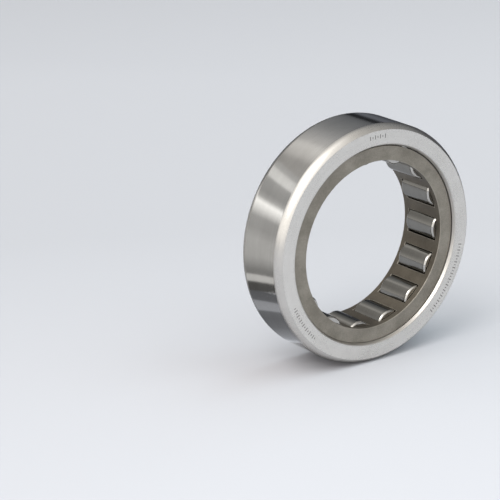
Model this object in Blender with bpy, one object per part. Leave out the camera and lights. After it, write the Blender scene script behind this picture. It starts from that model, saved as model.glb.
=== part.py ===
"""Cylindrical roller bearing without an inner ring: outer ring, window cage, fifteen rollers.

The bearing stands upright on its rim. Its axis is +Y, its front face looks toward -Y and the
origin is the bearing's centre. Sizes are in metres, +Z is up.

Every round piece is a profile of (radius, y) points turned about the Y axis. The rollers run
between the outer ring's two ribs. The cage's pockets are cylinders a little larger than a
roller, so at the bore each pocket is narrower than its roller and holds it in.
"""
import math

import bmesh
import bpy

# Bearing envelope
OUTER_DIAMETER = 0.090
WIDTH = 0.023

# Rollers and the circle they stand on
ROLLER_COUNT = 15
ROLLER_DIAMETER = 0.011
ROLLER_LENGTH = 0.015
PITCH_RADIUS = 0.03525
FIRST_ROLLER_ANGLE = math.radians(-1.5)
ROLLER_CORNER = 0.0007

# Outer ring
CORNER_LENGTH = 0.0035        # outer corner along the axis
CORNER_DROP = 0.0018          # and along the radius
RIB_BORE_RADIUS = 0.0372
RIB_CHAMFER_LENGTH = 0.0009
RIB_CHAMFER_DROP = 0.00056
RIB_SPACING = 0.0152          # between the two rib faces
RACEWAY_CLEARANCE = 0.0001    # radial, between the rollers and the raceway
RELIEF_WIDTH = 0.0007         # groove in each corner of the raceway
RELIEF_DEPTH = 0.0003

# Cage
CAGE_OUTER_RADIUS = 0.0368
CAGE_BORE_RADIUS = 0.0316
CAGE_WIDTH = 0.0204
CAGE_CHAMFER = 0.00035
POCKET_CLEARANCE = 0.0003     # round the roller
POCKET_END_CLEARANCE = 0.0002

# Facets
RING_SEGMENTS = 96
CAGE_SEGMENTS = 120
ROLLER_SEGMENTS = 24
POCKET_SEGMENTS = 24
CORNER_STEPS = 4
SHARP_ANGLE = math.radians(30)

ROLLER_RADIUS = ROLLER_DIAMETER / 2
RACEWAY_RADIUS = PITCH_RADIUS + ROLLER_RADIUS + RACEWAY_CLEARANCE


def clear_scene():
    """Remove every object of the scene."""
    for old in list(bpy.data.objects):
        bpy.data.objects.remove(old, do_unlink=True)


def steel(name, colour, roughness):
    """A bare steel finish."""
    material = bpy.data.materials.new(name)
    material.use_nodes = True
    shader = material.node_tree.nodes["Principled BSDF"]
    shader.inputs["Base Color"].default_value = (*colour, 1.0)
    shader.inputs["Metallic"].default_value = 1.0
    shader.inputs["Roughness"].default_value = roughness
    return material


def arc(centre, radius, start, end, steps):
    """Points on an arc in the (radius, y) plane, from one angle to the other."""
    angles = [start + (end - start) * step / steps for step in range(steps + 1)]
    return [(centre[0] + radius * math.cos(a), centre[1] + radius * math.sin(a)) for a in angles]


def mirrored(half):
    """A profile half, listed toward +Y, followed by its mirror image on the -Y side."""
    return half + [(radius, -y) for radius, y in reversed(half)]


def turned(name, profile, segments, closed):
    """Turn a profile about the Y axis; an open profile starts and ends in a flat disc."""
    shape = bmesh.new()
    corners = [shape.verts.new((radius, y, 0.0)) for radius, y in profile]
    edges = [shape.edges.new(pair) for pair in zip(corners, corners[1:])]
    if closed:
        edges.append(shape.edges.new((corners[-1], corners[0])))
    bmesh.ops.spin(shape, geom=corners + edges, cent=(0, 0, 0), axis=(0, 1, 0),
                   angle=math.tau, steps=segments, use_merge=True)
    if not closed:
        rims = [edge for edge in shape.edges if edge.is_boundary]
        bmesh.ops.holes_fill(shape, edges=rims)
    bmesh.ops.recalc_face_normals(shape, faces=shape.faces[:])
    mesh = bpy.data.meshes.new(name)
    shape.to_mesh(mesh)
    shape.free()
    mesh.shade_smooth()
    mesh.set_sharp_from_angle(angle=SHARP_ANGLE)
    return mesh


def add_object(name, mesh, material=None, parent=None):
    """Put a mesh in the scene under its own name."""
    piece = bpy.data.objects.new(name, mesh)
    bpy.context.scene.collection.objects.link(piece)
    if material and not mesh.materials:
        mesh.materials.append(material)
    piece.parent = parent
    return piece


def outer_ring_profile():
    """The outer ring's closed profile: rounded outer corners, two ribs, relief grooves."""
    radius = OUTER_DIAMETER / 2
    half_width = WIDTH / 2
    rib_face = RIB_SPACING / 2
    # The corner's arc leaves the cylinder tangentially and meets the face at an edge.
    arc_radius = (CORNER_DROP ** 2 + CORNER_LENGTH ** 2) / (2 * CORNER_DROP)
    arc_centre = (radius - arc_radius, half_width - CORNER_LENGTH)
    arc_end = math.asin(CORNER_LENGTH / arc_radius)
    half = arc(arc_centre, arc_radius, 0.0, arc_end, CORNER_STEPS)
    half += [
        (RIB_BORE_RADIUS + RIB_CHAMFER_DROP, half_width),
        (RIB_BORE_RADIUS, half_width - RIB_CHAMFER_LENGTH),
        (RIB_BORE_RADIUS, rib_face),
        (RACEWAY_RADIUS + RELIEF_DEPTH, rib_face),
        (RACEWAY_RADIUS + RELIEF_DEPTH, rib_face - RELIEF_WIDTH / 2),
        (RACEWAY_RADIUS, rib_face - RELIEF_WIDTH),
    ]
    return mirrored(half)


def cage_profile():
    """The cage's closed profile before its pockets: a plain ring with four chamfers."""
    half_width = CAGE_WIDTH / 2
    half = [
        (CAGE_OUTER_RADIUS, half_width - CAGE_CHAMFER),
        (CAGE_OUTER_RADIUS - CAGE_CHAMFER, half_width),
        (CAGE_BORE_RADIUS + CAGE_CHAMFER, half_width),
        (CAGE_BORE_RADIUS, half_width - CAGE_CHAMFER),
    ]
    return mirrored(half)


def roller_profile():
    """A roller's open profile, from one flat end round both corners to the other."""
    centre = (ROLLER_RADIUS - ROLLER_CORNER, ROLLER_LENGTH / 2 - ROLLER_CORNER)
    return mirrored(arc(centre, ROLLER_CORNER, math.pi / 2, 0.0, CORNER_STEPS // 2))


def roller_place(index):
    """The centre of one roller on the pitch circle."""
    angle = FIRST_ROLLER_ANGLE + index * math.tau / ROLLER_COUNT
    return (PITCH_RADIUS * math.cos(angle), 0.0, PITCH_RADIUS * math.sin(angle))


def build_outer_ring():
    """The hardened ring with the raceway, which stays still in its housing."""
    mesh = turned("outer_ring", outer_ring_profile(), RING_SEGMENTS, closed=True)
    return add_object("outer_ring", mesh, steel("ring_steel", (0.62, 0.62, 0.60), 0.24))


def build_cage(outer_ring):
    """The one-piece window cage, with its pockets cut by one cutter of separate cylinders."""
    mesh = turned("cage", cage_profile(), CAGE_SEGMENTS, closed=True)
    cage = add_object("cage", mesh, steel("cage_steel", (0.27, 0.25, 0.22), 0.48), outer_ring)

    half_length = ROLLER_LENGTH / 2 + POCKET_END_CLEARANCE
    pocket_radius = ROLLER_RADIUS + POCKET_CLEARANCE
    pocket = turned("pocket", [(pocket_radius, -half_length), (pocket_radius, half_length)],
                    POCKET_SEGMENTS, closed=False)
    cutter_shape = bmesh.new()
    for index in range(ROLLER_COUNT):
        first_new = len(cutter_shape.verts)
        cutter_shape.from_mesh(pocket)
        cutter_shape.verts.ensure_lookup_table()
        bmesh.ops.translate(cutter_shape, vec=roller_place(index),
                            verts=cutter_shape.verts[first_new:])
    cutter_mesh = bpy.data.meshes.new("pocket_cutters")
    cutter_shape.to_mesh(cutter_mesh)
    cutter_shape.free()
    cutters = add_object("pocket_cutters", cutter_mesh)
    cutters.hide_render = True
    cutters.display_type = "WIRE"

    cut = cage.modifiers.new("pockets", "BOOLEAN")
    cut.operation = "DIFFERENCE"
    cut.solver = "EXACT"
    cut.object = cutters
    return cage


def build_rollers(cage):
    """Fifteen equal rollers, each with its origin on its own spin axis."""
    mesh = turned("roller", roller_profile(), ROLLER_SEGMENTS, closed=False)
    material = steel("roller_steel", (0.56, 0.56, 0.55), 0.12)
    for index in range(ROLLER_COUNT):
        roller = add_object(f"roller_{index + 1:02d}", mesh, material, cage)
        roller.location = roller_place(index)


def main():
    clear_scene()
    outer_ring = build_outer_ring()
    cage = build_cage(outer_ring)
    build_rollers(cage)


main()
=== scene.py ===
"""Looks of the cylindrical roller bearing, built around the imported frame.

Each CAD node gets a fine mesh in its place: a turned outer ring with filleted edges, a window
cage with real pockets, and crowned rollers with recessed ends. Materials are procedural.
"""
import math

import bmesh
import bpy
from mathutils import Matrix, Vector


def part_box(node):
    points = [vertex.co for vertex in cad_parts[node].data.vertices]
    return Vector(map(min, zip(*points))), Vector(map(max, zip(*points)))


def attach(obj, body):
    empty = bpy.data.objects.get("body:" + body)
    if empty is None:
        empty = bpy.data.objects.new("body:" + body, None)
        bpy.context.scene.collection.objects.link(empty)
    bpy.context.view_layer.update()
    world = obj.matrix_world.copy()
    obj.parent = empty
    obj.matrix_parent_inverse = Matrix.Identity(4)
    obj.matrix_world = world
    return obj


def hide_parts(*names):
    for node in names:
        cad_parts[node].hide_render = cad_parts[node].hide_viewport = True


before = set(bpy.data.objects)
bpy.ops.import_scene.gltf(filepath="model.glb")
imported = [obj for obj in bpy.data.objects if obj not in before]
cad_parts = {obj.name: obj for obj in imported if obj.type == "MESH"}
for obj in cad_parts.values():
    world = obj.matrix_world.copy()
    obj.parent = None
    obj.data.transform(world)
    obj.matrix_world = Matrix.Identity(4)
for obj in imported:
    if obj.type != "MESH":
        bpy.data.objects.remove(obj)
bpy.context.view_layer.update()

MM = 0.001

# Sizes read from the frame
RING_LOW, RING_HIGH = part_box("outer_ring")
CAGE_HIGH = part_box("cage")[1]
ROLLERS = sorted(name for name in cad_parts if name.startswith("roller_"))
ROLLER_LOW, ROLLER_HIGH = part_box(ROLLERS[0])
RING_RADIUS = RING_HIGH.x
RING_HALF_WIDTH = RING_HIGH.y
CAGE_OUTER_RADIUS = CAGE_HIGH.x
CAGE_HALF_WIDTH = CAGE_HIGH.y
ROLLER_HALF_LENGTH = ROLLER_HIGH.y
ROLLER_RADIUS = (ROLLER_HIGH.z - ROLLER_LOW.z) / 2
FIRST_ROLLER = (ROLLER_LOW + ROLLER_HIGH) / 2
PITCH_RADIUS = math.hypot(FIRST_ROLLER.x, FIRST_ROLLER.z)
FIRST_ROLLER_ANGLE = math.atan2(FIRST_ROLLER.z, FIRST_ROLLER.x)

# Outer ring
CORNER_LENGTH = 3.5 * MM
CORNER_DROP = 1.8 * MM
RIB_BORE_RADIUS = 37.2 * MM
RIB_CHAMFER_LENGTH = 1.1 * MM
RIB_CHAMFER_DROP = 0.56 * MM
RIB_FACE = 7.6 * MM
RACEWAY_RADIUS = PITCH_RADIUS + ROLLER_RADIUS + 0.1 * MM
RELIEF_WIDTH = 0.7 * MM
RELIEF_DEPTH = 0.3 * MM
FACE_OUTER_RADIUS = RING_RADIUS - CORNER_DROP

# Cage
CAGE_FINE_RADIUS = CAGE_OUTER_RADIUS + 0.20 * MM
CAGE_REST = Vector((-0.08, 0.0, -0.12)) * MM    # it lies low and to the left in its play
CAGE_BORE_RADIUS = 31.6 * MM
POCKET_RADIUS = ROLLER_RADIUS + 0.3 * MM
POCKET_HALF_LENGTH = ROLLER_HALF_LENGTH + 0.2 * MM
CAGE_EDGE = 0.22 * MM

# Facets and finishes
RING_SEGMENTS = 288
ROLLER_SEGMENTS = 72
CORNER_STEPS = 16
FLAT_FACING = 0.999            # a face's normal points at least this far along the axis
END_FACING = 0.2               # and that of a roller's corner and end this far
LINE_DEPTH = 0.02 * MM         # of the turning lines, at a relief of 1

# Camera and stage; angles are in degrees, other sizes but the lens in metres
VIEW_AZIMUTH = -36.86
VIEW_ELEVATION = 18.52
VIEW_DISTANCE = 0.844
AIM_RIGHT = -0.0392            # the camera stands this far left of the bearing's centre
AIM_UP = -0.0045               # and this far below it, in its own view
LENS = 166.0                   # focal length in millimetres
FLOOR_REACH = 6.0
DARK_SIDE = (115, -25)         # azimuth and elevation of the tent's darkest spot
LIGHT_STRENGTH = 2.5           # the ramps' colours are strengths divided by this


# ---------------------------------------------------------------- mesh tools

def arc(centre, radius, start, end, steps):
    """Points on an arc in the (radius, y) plane, from one angle to the other."""
    angles = [start + (end - start) * step / steps for step in range(steps + 1)]
    return [(centre[0] + radius * math.cos(a), centre[1] + radius * math.sin(a)) for a in angles]


def filleted(corners, closed, steps=4):
    """A profile from (radius, y, fillet) corners, each rounded to its own fillet radius."""
    points = []
    for index, (x, y, fillet) in enumerate(corners):
        at_end = not closed and index in (0, len(corners) - 1)
        if fillet == 0 or at_end:
            points.append((x, y))
            continue
        here = Vector((x, y))
        before = Vector(corners[index - 1][:2]) - here
        after = Vector(corners[(index + 1) % len(corners)][:2]) - here
        half_angle = before.angle(after) / 2
        reach = fillet / math.tan(half_angle)
        start = here + before.normalized() * reach
        end = here + after.normalized() * reach
        centre = here + (before.normalized() + after.normalized()).normalized() * (
            fillet / math.sin(half_angle))
        for step in range(steps + 1):
            spoke = (start - centre).lerp(end - centre, step / steps).normalized() * fillet
            points.append(tuple(centre + spoke))
    return points


def mirrored(half):
    """A profile half, listed toward +Y, followed by its mirror image on the -Y side."""
    return half + [(corner[0], -corner[1], *corner[2:]) for corner in reversed(half)]


def turned(name, profile, segments, closed):
    """Turn a profile about the Y axis; an open profile starts and ends in a flat disc."""
    shape = bmesh.new()
    angles = [math.tau * segment / segments for segment in range(segments)]
    outlines = [[shape.verts.new((radius * math.cos(angle), y, radius * math.sin(angle)))
                 for radius, y in profile] for angle in angles]
    spans = [(index, index + 1) for index in range(len(profile) - 1)]
    if closed:
        spans.append((len(profile) - 1, 0))
    for here, beyond in zip(outlines, outlines[1:] + outlines[:1]):
        for first, second in spans:
            shape.faces.new((here[first], here[second], beyond[second], beyond[first]))
    if not closed:
        for end in (0, -1):
            shape.faces.new([outline[end] for outline in outlines])
    return finished_mesh(name, shape)


def finished_mesh(name, shape):
    """A smooth-shaded mesh from a bmesh, faces outward."""
    bmesh.ops.recalc_face_normals(shape, faces=shape.faces[:])
    mesh = bpy.data.meshes.new(name)
    shape.to_mesh(mesh)
    shape.free()
    mesh.shade_smooth()
    return mesh


def add_piece(name, mesh, body, node, location=(0, 0, 0)):
    """Link a piece, seat it on its body and let it stand for its CAD node."""
    piece = bpy.data.objects.new(name, mesh)
    bpy.context.scene.collection.objects.link(piece)
    piece.location = location
    weights = piece.modifiers.new("flat_faces_lead", "WEIGHTED_NORMAL")
    weights.weight = 100
    weights.keep_sharp = True
    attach(piece, body)
    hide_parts(node)
    return piece


# ---------------------------------------------------------------- materials

class Graph:
    """The node tree of a material or a world, with short calls for the nodes used here."""

    def __init__(self, owner):
        owner.use_nodes = True
        self.owner = owner
        self.nodes = owner.node_tree.nodes
        self.links = owner.node_tree.links
        self.shader = self.nodes.get("Principled BSDF")

    def node(self, kind, inputs=None, **settings):
        """Add a node; inputs maps socket names or indices to sockets or values."""
        made = self.nodes.new(kind)
        for key, value in settings.items():
            setattr(made, key, value)
        for key, value in (inputs or {}).items():
            self.feed(made.inputs[key], value)
        return made

    def feed(self, target, value):
        """Link a socket into another, or set it to a value."""
        if isinstance(value, bpy.types.NodeSocket):
            self.links.new(value, target)
        else:
            target.default_value = value

    def math(self, operation, *values):
        """One step of arithmetic on sockets or numbers."""
        made = self.nodes.new("ShaderNodeMath")
        made.operation = operation
        for target, value in zip(made.inputs, values):
            self.feed(target, value)
        return made.outputs[0]

    def noise(self, vector, scale, detail=3.0, roughness=0.6):
        """A cloudy pattern from 0 to 1 with this many waves in a metre."""
        return self.node("ShaderNodeTexNoise", {"Vector": vector, "Scale": scale,
                         "Detail": detail, "Roughness": roughness}).outputs["Fac"]

    def remap(self, value, low, high, new_low, new_high):
        """A value moved from one range to another and held inside it."""
        return self.node("ShaderNodeMapRange", {"Value": value, "From Min": low,
                         "From Max": high, "To Min": new_low, "To Max": new_high}).outputs[0]

    def mix(self, factor, first, second):
        """A colour between two others."""
        made = self.node("ShaderNodeMix", data_type="RGBA")
        self.feed(made.inputs["Factor"], factor)
        self.feed(made.inputs["A"], (*first, 1.0) if isinstance(first, tuple) else first)
        self.feed(made.inputs["B"], (*second, 1.0) if isinstance(second, tuple) else second)
        return made.outputs["Result"]

    def polar(self):
        """Object coordinates as (vector, radius about Y, y, angle about Y)."""
        vector = self.node("ShaderNodeTexCoord").outputs["Object"]
        parts = self.node("ShaderNodeSeparateXYZ", {"Vector": vector})
        x, y, z = parts.outputs
        radius = self.math("SQRT", self.math("ADD", self.math("MULTIPLY", x, x),
                                             self.math("MULTIPLY", z, z)))
        return vector, radius, y, self.math("ARCTAN2", z, x)

    def turning_lines(self, radius, y, per_mm):
        """Streaks that run round the axis, as a lathe or a grinding wheel leaves them."""
        across = self.node("ShaderNodeCombineXYZ", {"X": radius, "Y": y, "Z": 0.0})
        return self.noise(across.outputs[0], per_mm / MM, detail=4.0, roughness=0.75)


def ground_steel(name, light, dark, roughness, spread, lines_per_mm, relief, marks=False,
                 waviness=0.0, edge_on=1.0):
    """Bright steel with turning lines, a faint cloudy haze and slightly wavy reflections.

    spread is how far the roughness strays to each side, relief the strength of the lines'
    bump, waviness the height of the slow swell, and edge_on tints the reflection where the
    steel is seen at a grazing angle.
    """
    graph = Graph(bpy.data.materials.new(name))
    vector, radius, y, angle = graph.polar()
    lines = graph.turning_lines(radius, y, lines_per_mm)
    grooves = graph.turning_lines(radius, y, lines_per_mm / 5)
    haze = graph.noise(vector, 0.09 / MM, detail=4.0)
    grain = graph.noise(vector, 2.2 / MM, detail=2.0)
    blend = graph.math("ADD", graph.math("MULTIPLY", graph.math("ADD", lines, grooves), 0.3),
                       graph.math("MULTIPLY", haze, 0.4))
    colour = graph.mix(graph.remap(blend, 0.35, 0.65, 0.0, 1.0), dark, light)
    finish = graph.math("ADD", graph.math("MULTIPLY", lines, 0.5),
                        graph.math("MULTIPLY", graph.math("ADD", haze, grain), 0.25))
    rough = graph.remap(finish, 0.3, 0.7, roughness - spread, roughness + spread)
    if marks:
        mark = etched_marks(graph, radius, y, angle)
        colour = graph.mix(mark, colour, (0.16, 0.15, 0.14))
        rough = graph.math("ADD", rough, graph.math("MULTIPLY", mark, 0.25))
    shader = graph.shader
    shader.inputs["Metallic"].default_value = 1.0
    shader.inputs["Specular Tint"].default_value = (edge_on, edge_on, edge_on, 1.0)
    graph.feed(shader.inputs["Base Color"], colour)
    graph.feed(shader.inputs["Roughness"], rough)
    waves = graph.noise(vector, 0.22 / MM, detail=1.0)
    swell = graph.node("ShaderNodeBump", {"Height": waves, "Strength": 1.0,
                                          "Distance": waviness})
    bump = graph.node("ShaderNodeBump", {"Height": lines, "Strength": relief,
                                         "Distance": LINE_DEPTH, "Normal": swell.outputs[0]})
    graph.feed(shader.inputs["Normal"], bump.outputs[0])
    return graph.owner


def etched_marks(graph, radius, y, angle):
    """Three groups of plain graduation ticks on the front face, long and short in turn."""
    middle_radius, pitch = 41.0 * MM, 1.15 * MM
    short, long = 0.35 * MM, 0.75 * MM
    half_thickness = 0.13          # share of the pitch
    # middle and half span of each group, as angles about the axis in degrees
    groups = ((91, 5.5), (-30, 20.0), (-146, 12.0))
    turns = graph.math("MULTIPLY", angle, middle_radius / pitch)
    phase = graph.math("FRACT", turns)
    aside = graph.math("ABSOLUTE", graph.math("SUBTRACT", phase, 0.5))
    bar = graph.math("LESS_THAN", aside, half_thickness)
    pair = graph.math("FRACT", graph.math("MULTIPLY", turns, 0.5))
    half_height = graph.remap(graph.math("GREATER_THAN", pair, 0.5), 0.0, 1.0, short, long)
    offset = graph.math("ABSOLUTE", graph.math("SUBTRACT", radius, middle_radius))
    within = graph.math("LESS_THAN", offset, half_height)
    front = graph.math("LESS_THAN", y, 0.01 * MM - RING_HALF_WIDTH)
    where = None
    for centre, half_span in groups:
        away = graph.math("ABSOLUTE", graph.math("SUBTRACT", angle, math.radians(centre)))
        group = graph.math("LESS_THAN", away, math.radians(half_span))
        where = group if where is None else graph.math("MAXIMUM", where, group)
    mark = graph.math("MULTIPLY", bar, within)
    return graph.math("MULTIPLY", graph.math("MULTIPLY", mark, front), where)


def treated_steel(name, light, dark):
    """The cage's matte grey-brown steel: fine grain, soft mottling, faint turning lines."""
    graph = Graph(bpy.data.materials.new(name))
    vector, radius, y, _ = graph.polar()
    lines = graph.turning_lines(radius, y, 3.0)
    grain = graph.noise(vector, 3.0 / MM, detail=3.0)
    mottle = graph.noise(vector, 0.12 / MM, detail=5.0)
    blend = graph.math("ADD", graph.math("MULTIPLY", mottle, 0.6),
                       graph.math("MULTIPLY", grain, 0.4))
    colour = graph.mix(graph.remap(blend, 0.38, 0.62, 0.0, 1.0), dark, light)
    shader = graph.shader
    shader.inputs["Metallic"].default_value = 0.85
    graph.feed(shader.inputs["Base Color"], colour)
    graph.feed(shader.inputs["Roughness"], graph.remap(blend, 0.3, 0.7, 0.40, 0.56))
    height = graph.math("ADD", graph.math("MULTIPLY", grain, 0.6),
                        graph.math("MULTIPLY", lines, 0.4))
    bump = graph.node("ShaderNodeBump", {"Height": height, "Strength": 0.35,
                                         "Distance": LINE_DEPTH})
    graph.feed(shader.inputs["Normal"], bump.outputs[0])
    return graph.owner


# ---------------------------------------------------------------- the pieces

def ring_profile():
    """The outer ring's closed profile with fine steps in its corners and small edge breaks."""
    arc_radius = (CORNER_DROP ** 2 + CORNER_LENGTH ** 2) / (2 * CORNER_DROP)
    arc_centre = (RING_RADIUS - arc_radius, RING_HALF_WIDTH - CORNER_LENGTH)
    arc_end = math.asin(CORNER_LENGTH / arc_radius)
    sweep = arc(arc_centre, arc_radius, 0.0, arc_end, CORNER_STEPS)
    # radius, y and fillet of each corner
    half = [(x, y, 0) for x, y in sweep[:-1]]
    half += [
        (*sweep[-1], 0.12 * MM),
        (RIB_BORE_RADIUS + RIB_CHAMFER_DROP, RING_HALF_WIDTH, 0.5 * MM),
        (RIB_BORE_RADIUS, RING_HALF_WIDTH - RIB_CHAMFER_LENGTH, 0.15 * MM),
        (RIB_BORE_RADIUS, RIB_FACE, 0.25 * MM),
        (RACEWAY_RADIUS + RELIEF_DEPTH, RIB_FACE, 0.12 * MM),
        (RACEWAY_RADIUS + RELIEF_DEPTH, RIB_FACE - RELIEF_WIDTH / 2, 0.1 * MM),
        (RACEWAY_RADIUS, RIB_FACE - RELIEF_WIDTH, 0.1 * MM),
    ]
    return filleted(mirrored(half), closed=True)


def build_outer_ring():
    """The ring, with one finish each for its faces, its cylinder, its corners and inside."""
    mesh = turned("outer_ring_fine", ring_profile(), RING_SEGMENTS, closed=True)
    finishes = (
        ground_steel("ring_face", (0.74, 0.722, 0.69), (0.62, 0.602, 0.57), roughness=0.28,
                     spread=0.03, lines_per_mm=4.0, relief=0.04, marks=True),
        ground_steel("ring_cylinder", (0.68, 0.67, 0.65), (0.56, 0.55, 0.53), roughness=0.11,
                     spread=0.04, lines_per_mm=5.0, relief=0.10, waviness=0.012 * MM,
                     edge_on=0.72),
        ground_steel("ring_corner", (0.62, 0.605, 0.58), (0.54, 0.525, 0.50), roughness=0.29,
                     spread=0.06, lines_per_mm=3.0, relief=0.12, edge_on=0.6),
        ground_steel("ring_inside", (0.60, 0.585, 0.56), (0.50, 0.485, 0.46), roughness=0.42,
                     spread=0.06, lines_per_mm=5.0, relief=0.10),
    )
    for finish in finishes:
        mesh.materials.append(finish)
    face, cylinder, corner, inside = range(len(finishes))
    for polygon in mesh.polygons:
        radius = math.hypot(polygon.center.x, polygon.center.z)
        flat = abs(polygon.normal.y) > FLAT_FACING
        if flat and abs(polygon.center.y) > RIB_FACE + MM:
            polygon.material_index = face
        elif radius > RING_RADIUS - 0.02 * MM:
            polygon.material_index = cylinder
        elif radius > FACE_OUTER_RADIUS - 0.2 * MM:
            polygon.material_index = corner
        else:
            polygon.material_index = inside
    add_piece("outer_ring_body", mesh, "outer_ring", "outer_ring")


def cage_mesh():
    """The cage as a shell of shared rings: rims, bars between pockets, and pocket walls."""
    shape = bmesh.new()
    sector = math.tau / len(ROLLERS)
    pocket_steps, bar_steps, wall_steps = 8, 6, 9
    levels = (-CAGE_HALF_WIDTH, -POCKET_HALF_LENGTH, POCKET_HALF_LENGTH, CAGE_HALF_WIDTH)

    def wall_turn(reach):
        """Where the pocket's round wall is at this distance from the bearing's axis."""
        cosine = (reach ** 2 - PITCH_RADIUS ** 2 - POCKET_RADIUS ** 2) / (
            2 * PITCH_RADIUS * POCKET_RADIUS)
        return math.acos(cosine)

    def wall_point(turn):
        """(radius, angle from the pocket's middle) of a point on the pocket's wall."""
        along = PITCH_RADIUS + POCKET_RADIUS * math.cos(turn)
        aside = POCKET_RADIUS * math.sin(turn)
        return math.hypot(along, aside), math.atan2(aside, along)

    def ring_points(radius):
        """Points round one circle: each pocket's stretch, then the bar after it."""
        half = wall_point(wall_turn(radius))[1]
        angles = []
        for index in range(len(ROLLERS)):
            middle = FIRST_ROLLER_ANGLE + index * sector
            angles += [middle - half + 2 * half * step / pocket_steps
                       for step in range(pocket_steps)]
            angles += [middle + half + (sector - 2 * half) * step / bar_steps
                       for step in range(bar_steps)]
        return [(radius, angle) for angle in angles]

    def place(point, y):
        return shape.verts.new((point[0] * math.cos(point[1]), y, point[0] * math.sin(point[1])))

    bore = [[place(point, y) for point in ring_points(CAGE_BORE_RADIUS)] for y in levels]
    outside = [[place(point, y) for point in ring_points(CAGE_FINE_RADIUS)] for y in levels]
    count = len(bore[0])
    per_sector = pocket_steps + bar_steps

    def band(first, second, wanted=lambda index: True):
        """Quads between two rings of points, where wanted."""
        for index in range(count):
            after = (index + 1) % count
            if wanted(index):
                shape.faces.new((first[index], first[after], second[after], second[index]))

    def on_bar(index):
        return index % per_sector >= pocket_steps

    for ring in (bore, outside):
        band(ring[0], ring[1])
        band(ring[1], ring[2], on_bar)
        band(ring[2], ring[3])
    band(bore[0], outside[0])
    band(bore[3], outside[3])

    turns = [wall_turn(CAGE_BORE_RADIUS) + step / wall_steps
             * (wall_turn(CAGE_FINE_RADIUS) - wall_turn(CAGE_BORE_RADIUS))
             for step in range(1, wall_steps)]
    for index in range(len(ROLLERS)):
        middle = FIRST_ROLLER_ANGLE + index * sector
        first = index * per_sector
        last = (first + pocket_steps) % count
        walls = []
        for side, corner in ((-1, first), (1, last)):
            columns = []
            for level in (1, 2):
                inner = [place((wall_point(turn)[0], middle + side * wall_point(turn)[1]),
                               levels[level]) for turn in turns]
                columns.append([bore[level][corner], *inner, outside[level][corner]])
            for step in range(wall_steps):
                shape.faces.new((columns[0][step], columns[0][step + 1],
                                 columns[1][step + 1], columns[1][step]))
            walls.append(columns)
        for end, level in enumerate((1, 2)):
            bore_run = [bore[level][(first + step) % count] for step in range(pocket_steps + 1)]
            outer_run = [outside[level][(first + step) % count]
                         for step in range(pocket_steps + 1)]
            outline = (bore_run + walls[1][end][1:-1] + outer_run[::-1]
                       + walls[0][end][1:-1][::-1])
            shape.faces.new(outline)
    return finished_mesh("cage_fine", shape)


def build_cage():
    """The cage, low in its play as it rests; its broken edges are painted lighter, partly wear
    and partly a painted highlight, and its bore is painted darker as shade.
    """
    mesh = cage_mesh()
    finishes = (treated_steel("cage_treated", (0.33, 0.307, 0.265), (0.20, 0.183, 0.153)),
                # the bore's darker copy of the cage steel is painted shade
                treated_steel("cage_bore_painted_shade", (0.160, 0.141, 0.112), (0.100, 0.087, 0.069)),
                # lighter edges: partly wear, partly a painted highlight along the broken edges
                treated_steel("cage_edge_wear_and_highlight", (0.37, 0.345, 0.30), (0.27, 0.25, 0.215)))
    for finish in finishes:
        mesh.materials.append(finish)
    treated, bore, edge_wear_and_highlight = range(len(finishes))
    for polygon in mesh.polygons:
        reach = math.hypot(polygon.center.x, polygon.center.z)
        # the bore's faces take the painted shade
        polygon.material_index = bore if reach < CAGE_BORE_RADIUS + 0.1 * MM else treated
    cage = add_piece("cage_body", mesh, "cage", "cage", CAGE_REST)
    edge = cage.modifiers.new("broken_edges", "BEVEL")
    edge.width = CAGE_EDGE
    edge.segments = 3
    edge.limit_method = "ANGLE"
    edge.angle_limit = math.radians(35)
    edge.harden_normals = True
    # the bevels take the lighter tone of wear and painted highlight
    edge.material = edge_wear_and_highlight
    cage.modifiers.move(cage.modifiers.find("broken_edges"), 0)


def roller_profile():
    """A roller's open profile: recessed end, flat land, corner in two arcs, crowned barrel."""
    crown = 0.008 * MM
    recess_radius, recess_slope, recess_depth = 2.5 * MM, 0.25 * MM, 0.25 * MM
    end = ROLLER_HALF_LENGTH
    barrel = ROLLER_RADIUS - crown
    outer_arc, inner_arc = 0.65 * MM, 0.5 * MM
    outer_end, inner_start = math.radians(55), math.radians(25)
    inner_centre = (barrel - outer_arc * (1 - math.cos(outer_end))
                    - inner_arc * math.cos(inner_start), end - inner_arc)
    outer_centre = (barrel - outer_arc, inner_centre[1] + inner_arc * math.sin(inner_start)
                    - outer_arc * math.sin(outer_end))
    half = [
        (recess_radius - 2 * recess_slope, end - recess_depth, 0),
        (recess_radius - recess_slope, end - recess_depth, 0.2 * MM),
        (recess_radius, end, 0.12 * MM),
    ]
    half += [(x, y, 0) for x, y in arc(inner_centre, inner_arc, math.pi / 2, inner_start, 8)]
    half += [(x, y, 0) for x, y in arc(outer_centre, outer_arc, outer_end, 0.0, 8)[1:]]
    straight = outer_centre[1]
    for share in (0.8, 0.55, 0.25):
        y = straight * share
        half.append((ROLLER_RADIUS - crown * share ** 2, y, 0))
    return filleted(mirrored(half), closed=False)


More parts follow.
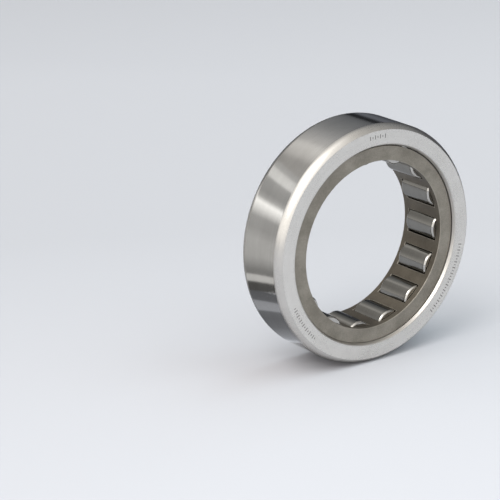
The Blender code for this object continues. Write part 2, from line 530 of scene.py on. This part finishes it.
def build_rollers():
    """Fifteen rollers that share one mesh, each round its own spin axis; their barrels are
    painted darker as shade.
    """
    mesh = turned("roller_fine", roller_profile(), ROLLER_SEGMENTS, closed=False)
    finishes = (
        # the barrels' steel is a darker copy of the ends' steel: painted shade
        ground_steel("roller_barrel_painted_shade", (0.27, 0.265, 0.25), (0.20, 0.195, 0.182), roughness=0.12,
                     spread=0.04, lines_per_mm=6.0, relief=0.06, edge_on=0.65),
        ground_steel("roller_end", (0.52, 0.505, 0.48), (0.42, 0.41, 0.39), roughness=0.12,
                     spread=0.04, lines_per_mm=5.0, relief=0.15),
    )
    for finish in finishes:
        mesh.materials.append(finish)
    barrel, end = range(len(finishes))
    for polygon in mesh.polygons:
        polygon.material_index = end if abs(polygon.normal.y) > END_FACING else barrel
    for name in ROLLERS:
        low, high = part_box(name)
        add_piece(f"{name}_body", mesh, name, name, (low + high) / 2)


# ---------------------------------------------------------------- stage, lights, camera

def fill_ramp(ramp, spots):
    """Set a fresh colour ramp from (position, colour) spots in rising order."""
    for spot, (position, colour) in zip(ramp.elements, (spots[0], spots[-1])):
        spot.position = position
        spot.color = (*colour, 1.0)
    for position, colour in spots[1:-1]:
        ramp.elements.new(position).color = (*colour, 1.0)


def build_floor():
    """A pale floor with a painted pool of light: its colour darkens with the distance from the
    front left.
    """
    shape = bmesh.new()
    bmesh.ops.create_grid(shape, x_segments=1, y_segments=1, size=FLOOR_REACH)
    mesh = finished_mesh("floor", shape)
    graph = Graph(bpy.data.materials.new("floor_paper"))
    painted_light_centre, reach = (-0.25, -0.35, 0.0), 4.0
    vector = graph.node("ShaderNodeTexCoord").outputs["Object"]
    away = graph.node("ShaderNodeVectorMath", {0: vector, 1: painted_light_centre},
                      operation="DISTANCE").outputs["Value"]
    pool = graph.node("ShaderNodeValToRGB", {"Fac": graph.math("DIVIDE", away, reach)})
    # distance in metres, and the paper's shade there: painted light that fades with the distance
    steps = ((0.0, 1.0), (0.30, 1.0), (0.42, 0.94), (0.58, 0.82), (0.85, 0.80), (1.10, 0.71),
             (1.5, 0.45), (2.2, 0.30), (4.0, 0.20))
    paper = (0.464, 0.465, 0.494)
    fill_ramp(pool.color_ramp, [(distance / reach, [shade * part for part in paper])
                                for distance, shade in steps])
    # the painted pool of light goes into the floor's own colour
    graph.feed(graph.shader.inputs["Base Color"], pool.outputs["Color"])
    graph.shader.inputs["Roughness"].default_value = 0.9
    graph.shader.inputs["Specular IOR Level"].default_value = 0.1
    mesh.materials.append(graph.owner)
    floor = bpy.data.objects.new("floor", mesh)
    floor.location.z = RING_LOW.z
    bpy.context.scene.collection.objects.link(floor)


def direction(azimuth, elevation):
    """The unit vector at these degrees: azimuth 0 in front of the bearing, 90 on its right."""
    azimuth, elevation = math.radians(azimuth), math.radians(elevation)
    return Vector((math.sin(azimuth) * math.cos(elevation),
                   -math.cos(azimuth) * math.cos(elevation), math.sin(elevation)))


def build_light():
    """A tent of soft light: bright on the left and overhead, falling off to a dark right side."""
    graph = Graph(bpy.data.worlds.new("light_tent"))
    view = graph.node("ShaderNodeTexCoord").outputs["Generated"]

    def facing(azimuth, elevation):
        """The cosine of the angle between the view and a direction."""
        return graph.node("ShaderNodeVectorMath", {0: view, 1: direction(azimuth, elevation)},
                          operation="DOT_PRODUCT").outputs["Value"]

    place = graph.remap(facing(*DARK_SIDE), -1.0, 1.0, 0.0, 1.0)
    tent = graph.node("ShaderNodeValToRGB", {"Fac": place})
    # cosine of the angle from the dark side, and the light's strength there
    steps = ((-1.0, 1.6), (-0.7, 1.6), (-0.55, 1.42), (-0.45, 1.22), (-0.35, 1.0), (-0.25, 0.80),
             (-0.15, 0.64), (0.05, 0.52), (0.25, 0.40), (0.45, 0.30), (0.6, 0.23), (0.75, 0.12),
             (1.0, 0.08))
    warm, cool = Vector((1.0, 0.975, 0.94)), Vector((0.92, 1.0, 1.12))
    fill_ramp(tent.color_ramp, [
        ((cosine + 1) / 2, warm.lerp(cool, max(0.0, cosine)) * (strength / LIGHT_STRENGTH))
        for cosine, strength in steps])

    # azimuth and elevation of a soft patch, its inner and outer half angles, and its factor
    patches = ((-160, 22, 14, 32, 0.52), (-170, 65, 15, 40, 1.5), (-178, 41, 2, 9, 1.4),
               (-70, 50, 7, 24, 4.6), (-90, -12, 4, 26, 0.7))
    level = LIGHT_STRENGTH
    for azimuth, elevation, inner, outer, factor in patches:
        patch = graph.node("ShaderNodeMapRange", {
            "Value": facing(azimuth, elevation),
            "From Min": math.cos(math.radians(outer)),
            "From Max": math.cos(math.radians(inner)),
            "To Min": 1.0,
            "To Max": factor}, interpolation_type="SMOOTHSTEP")
        level = graph.math("MULTIPLY", patch.outputs[0], level)
    background = graph.nodes["Background"]
    graph.feed(background.inputs["Color"], tent.outputs["Color"])
    graph.feed(background.inputs["Strength"], level)
    bpy.context.scene.world = graph.owner
    bpy.context.scene.view_settings.view_transform = "Standard"


def build_fill():
    """A large bluish lamp on the right that lights the shadow; no reflection shows it."""
    away, distance = direction(70, 45), 2.5
    lamp = bpy.data.lights.new("blue_fill", "AREA")
    lamp.shape = "DISK"
    lamp.size = 4.0
    lamp.energy = 68.0
    lamp.color = (0.76, 0.93, 1.0)
    fill = bpy.data.objects.new("blue_fill", lamp)
    fill.location = away * distance
    fill.rotation_mode = "QUATERNION"
    fill.rotation_quaternion = away.to_track_quat("Z", "Y")
    fill.visible_glossy = False
    bpy.context.scene.collection.objects.link(fill)


def build_card(name, foot, along, rise, tint, steps):
    """A glowing card that only reflections see, for the bands on the steel.

    foot is the middle of its first edge, along half of that edge, rise the way to the other
    edge, and steps are (distance from the first edge, brightness).
    """
    shape = bmesh.new()
    shape.faces.new([shape.verts.new(foot + corner) for corner in
                     (-along, along, along + rise, rise - along)])
    mesh = finished_mesh(name, shape)
    graph = Graph(bpy.data.materials.new(name))
    vector = graph.node("ShaderNodeTexCoord").outputs["Object"]
    slope = rise / rise.length_squared
    share = graph.node("ShaderNodeVectorMath", {0: vector, 1: slope},
                       operation="DOT_PRODUCT").outputs["Value"]
    share = graph.math("SUBTRACT", share, foot.dot(slope))
    bands = graph.node("ShaderNodeValToRGB", {"Fac": share})
    fill_ramp(bands.color_ramp, [
        (distance / rise.length, [part * strength / LIGHT_STRENGTH for part in tint])
        for distance, strength in steps])
    glow = graph.node("ShaderNodeEmission", {"Color": bands.outputs["Color"]})
    glow.inputs["Strength"].default_value = LIGHT_STRENGTH
    graph.feed(graph.nodes["Material Output"].inputs["Surface"], glow.outputs[0])
    mesh.materials.append(graph.owner)
    card = bpy.data.objects.new(name, mesh)
    card.visible_camera = False
    card.visible_diffuse = False
    card.visible_shadow = False
    bpy.context.scene.collection.objects.link(card)


def build_cards():
    """A striped card close on the left, one at its foot, and a dim one far on the right."""
    floor = RING_LOW.z
    build_card("band_card", Vector((-0.0658, 0.0407, floor)), Vector((0.0206, 0.0155, 0.0)),
               Vector((0.0, 0.0, 0.1165)), (1.0, 0.995, 0.98),
               ((0.0, 0.11), (0.0095, 0.11), (0.0105, 0.72), (0.0165, 0.76), (0.0175, 0.27),
                (0.022, 0.30), (0.034, 0.58), (0.048, 0.59), (0.057, 0.46), (0.066, 0.50),
                (0.073, 1.15), (0.078, 1.6), (0.082, 0.6), (0.087, 0.43), (0.099, 0.5),
                (0.1005, 1.0), (0.1095, 0.9), (0.1105, 0.6), (0.1165, 0.52)))
    build_card("foot_card", Vector((-0.020, 0.015, floor + 0.5 * MM)),
               Vector((0.014, 0.020, 0.0)), Vector((-0.042, 0.0284, 0.0)), (0.95, 0.98, 1.06),
               ((0.0, 0.90), (0.003, 0.50), (0.012, 0.27), (0.020, 0.21), (0.026, 0.23),
                (0.0275, 0.50), (0.0365, 0.46), (0.038, 0.19), (0.0507, 0.16)))
    build_card("dim_card", Vector((0.306, 0.257, floor)), Vector((0.206, -0.245, 0.0)),
               Vector((0.0, 0.0, 0.20)), (0.92, 0.97, 1.10),
               ((0.0, 0.05), (0.045, 0.08), (0.09, 0.16), (0.115, 0.22), (0.14, 0.20),
                (0.158, 0.03), (0.192, 0.015), (0.20, 0.10)))


def build_camera():
    """A long lens that looks past the bearing's left, as its place in the frame needs."""
    back = direction(VIEW_AZIMUTH, VIEW_ELEVATION)
    turn = (-back).to_track_quat("-Z", "Y")
    camera = bpy.data.objects.new("camera", bpy.data.cameras.new("camera"))
    camera.data.lens = LENS
    camera.data.sensor_width = 36.0
    camera.data.clip_start = 0.05
    camera.data.clip_end = 50.0
    camera.rotation_mode = "QUATERNION"
    camera.rotation_quaternion = turn
    camera.location = turn @ Vector((AIM_RIGHT, AIM_UP, VIEW_DISTANCE))
    bpy.context.scene.collection.objects.link(camera)
    bpy.context.scene.camera = camera


build_outer_ring()
build_cage()
build_rollers()
build_floor()
build_light()
build_fill()
build_cards()
build_camera()
